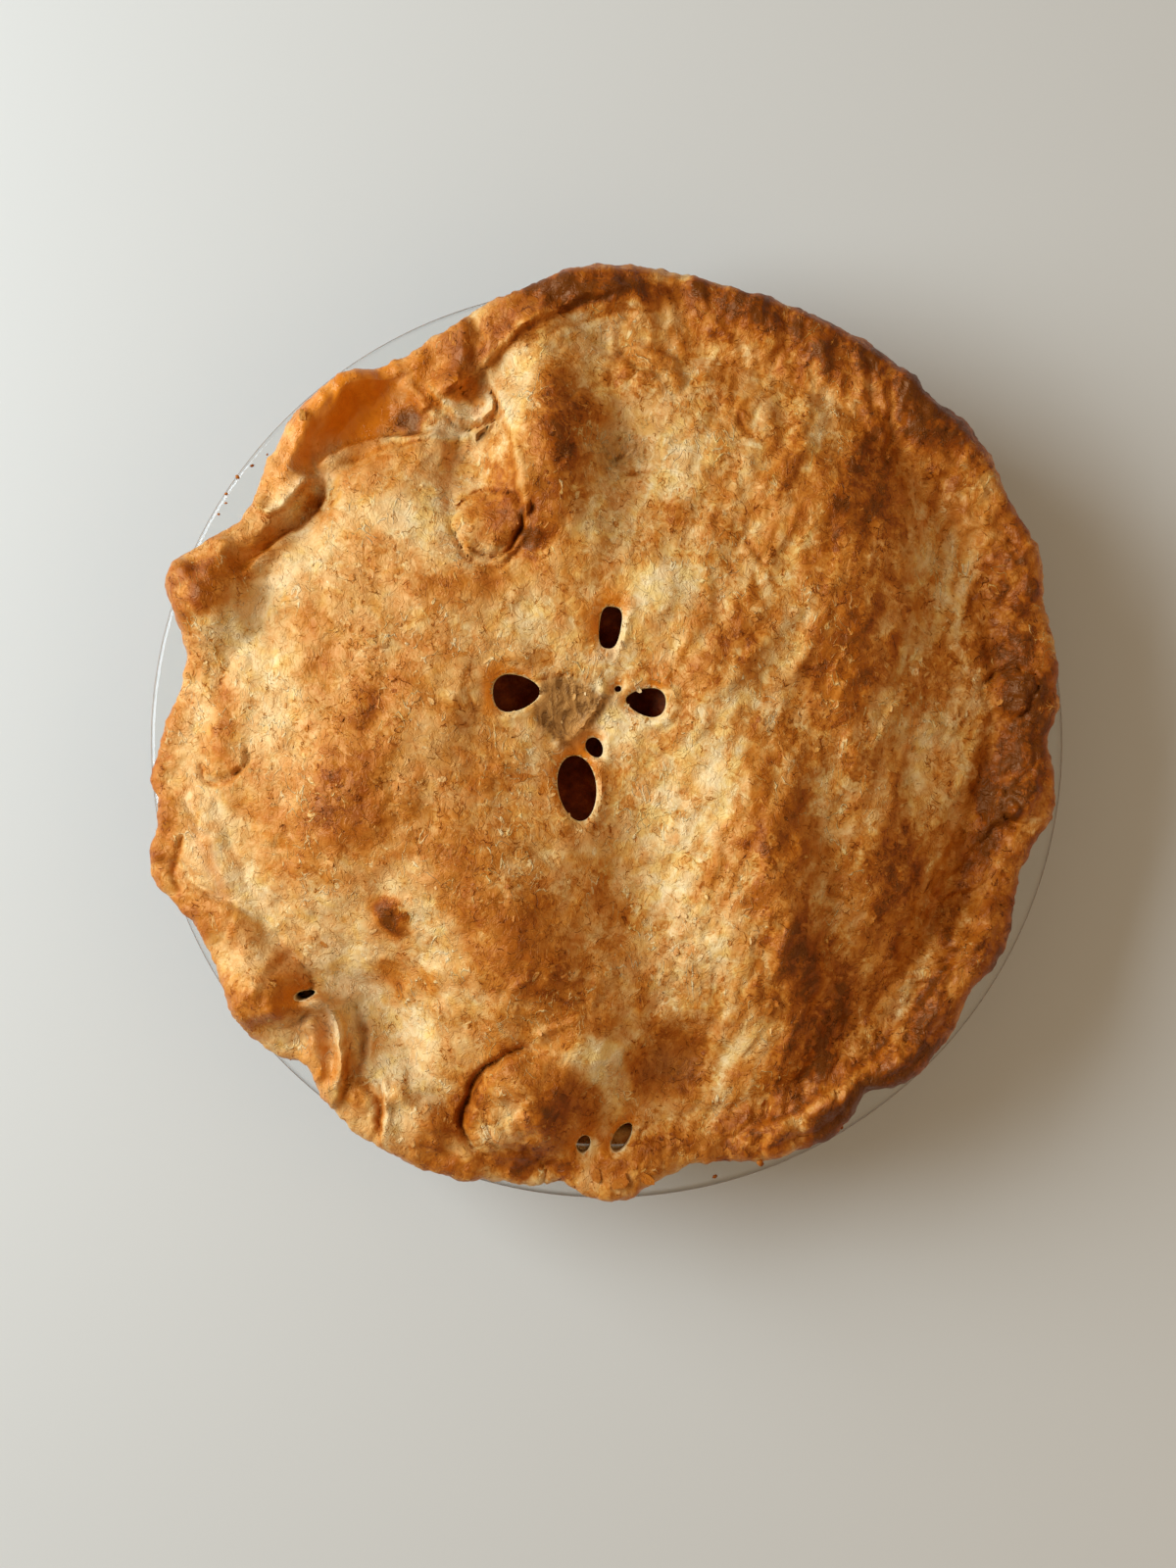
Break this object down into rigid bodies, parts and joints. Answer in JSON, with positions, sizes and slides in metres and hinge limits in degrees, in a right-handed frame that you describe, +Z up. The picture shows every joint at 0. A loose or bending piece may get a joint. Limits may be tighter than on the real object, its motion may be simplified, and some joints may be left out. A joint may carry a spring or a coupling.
{
  "type": "apple pie in a glass dish",
  "caption": "Home-baked double-crust apple pie with a domed, browned and uneven pastry lid cut with steam slits, baked in its round clear glass pie dish.",
  "frame": {"origin": "the centre of the flat underside of the glass dish, on the dish's axis", "axes": "+Z up along the dish's axis. +Y points to the side of the pie that is furthest from someone who faces the steam slits with the small crumpled bubble nearest to them, and +X to their right"},
  "size_m": [0.245, 0.2496, 0.0662],
  "materials": {
    "clear_glass": "clear polished glass",
    "pale_pastry": "pale baked pastry, matte",
    "spiced_apple": "cooked apple in dark syrup, glossy",
    "baked_pastry": "golden brown baked pastry with a soft buttery sheen"
  },
  "bodies": {
    "root": {"glass_dish": "clear_glass", "pastry_case": "pale_pastry", "apple_filling": "spiced_apple", "pastry_lid": "baked_pastry"}
  },
  "joints": []
}
